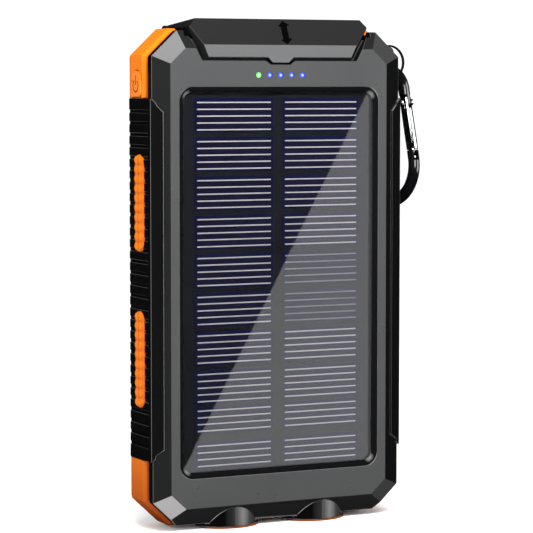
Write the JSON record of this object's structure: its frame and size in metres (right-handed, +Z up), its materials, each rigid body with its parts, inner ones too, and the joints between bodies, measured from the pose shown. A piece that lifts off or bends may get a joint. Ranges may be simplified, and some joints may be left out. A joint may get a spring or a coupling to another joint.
{
  "type": "solar phone charger",
  "caption": "Upright pocket solar charger with a framed solar window, hinged port cover, bumper, ribbed side grips and a carabiner on a ring.",
  "frame": {"origin": "centre of the base rib between the two round feet, on the plane the object stands on", "axes": "+Z up along the case's height, -Y out of the solar window, +X towards the side that carries the carabiner"},
  "size_m": [0.0875, 0.0271, 0.142],
  "materials": {
    "front_shell": "fine matte",
    "rear_shell": "fine matte",
    "bumper": "satin",
    "grip": "satin ribbed",
    "grip_pad": "bumpy satin",
    "gasket": "gloss",
    "cover_sheet": "clear gloss",
    "silicon": "polycrystalline",
    "contact_metal": "bright",
    "backing": "satin",
    "green_light": "clear tinted",
    "blue_light": "clear tinted",
    "led_chip": "epoxy",
    "button": "satin",
    "switch_white": "moulded",
    "switch_black": "moulded",
    "board": "solder mask",
    "port_metal": "stamped",
    "tongue_white": "moulded",
    "ferrite": "ferrite",
    "can_metal": "can",
    "pouch_foil": "foil",
    "foam": "foam",
    "tape": "polyimide",
    "lead_red": "insulation",
    "lead_black": "insulation",
    "lens": "clear",
    "reflector": "vacuum metallised",
    "screw_steel": "zinc plated",
    "cover": "fine matte",
    "pin_steel": "ground",
    "ring_black": "gloss black",
    "carabiner_black": "anodised gloss black",
    "gate_chrome": "polished"
  },
  "bodies": {
    "case": {"front_bezel": "front_shell", "rear_shell": "rear_shell", "bumper_frame": "bumper", "side_grip_left": "grip", "side_grip_right": "grip", "grip_pad_left_upper": "grip_pad", "grip_pad_left_lower": "grip_pad", "grip_pad_right_upper": "grip_pad", "grip_pad_right_lower": "grip_pad", "window_gasket": "gasket", "solar_cover_sheet": "cover_sheet", "solar_cells": "silicon", "cell_contact_strips": "contact_metal", "solar_backing_board": "backing", "light_pipe_green": "green_light", "light_pipes_blue": "blue_light", "status_led_chips": "led_chip", "switch_body": "switch_black", "main_board": "board", "usb_port_left": "port_metal", "usb_port_right": "port_metal", "usb_tongue_left": "tongue_white", "usb_tongue_right": "tongue_white", "charging_port": "port_metal", "charging_tongue": "switch_black", "power_chip": "switch_black", "inductor": "ferrite", "capacitors": "can_metal", "battery_front": "pouch_foil", "battery_rear": "pouch_foil", "battery_pad": "foam", "battery_tape": "tape", "battery_lead_red": "lead_red", "battery_lead_black": "lead_black", "panel_lead_red": "lead_red", "panel_lead_black": "lead_black", "torch_lenses": "lens", "torch_reflectors": "reflector", "torch_leds": "led_chip", "case_screws": "screw_steel", "cover_hinge_pin": "pin_steel", "lanyard_pin": "pin_steel"},
    "cover": {"port_cover": "cover"},
    "button": {"power_button": "button", "switch_plunger": "switch_white"},
    "ring": {"split_ring": "ring_black"},
    "carabiner": {"carabiner_body": "carabiner_black", "gate_rivet": "gate_chrome"},
    "gate": {"carabiner_gate": "gate_chrome", "gate_latch": "gate_chrome", "gate_spring": "pin_steel"}
  },
  "joints": [
    {"name": "cover_hinge", "type": "hinge", "parent": "case", "child": "cover", "pos_m": [0, 0.007, 0.1378], "axis": [-1, 0, 0], "range_deg": [0, 110]},
    {"name": "button_press", "type": "slide", "parent": "case", "child": "button", "axis": [1, 0, 0], "range_m": [0, 0.0006], "stiffness_N_per_m": 400},
    {"name": "ring_swing", "type": "hinge", "parent": "case", "child": "ring", "pos_m": [0.0409, 0.005, 0.1329], "axis": [0, -1, 0], "range_deg": [0, 95]},
    {"name": "carabiner_swing", "type": "hinge", "parent": "ring", "child": "carabiner", "pos_m": [0.0424, 0.005, 0.1212], "axis": [-0.9703, -0.2419, 0], "range_deg": [-20, 20]},
    {"name": "gate_hinge", "type": "hinge", "parent": "carabiner", "child": "gate", "pos_m": [0.04416, -0.00207, 0.11867], "axis": [-0.9703, -0.2419, 0], "range_deg": [0, 22], "stiffness_Nm_per_rad": 0.02}
  ]
}
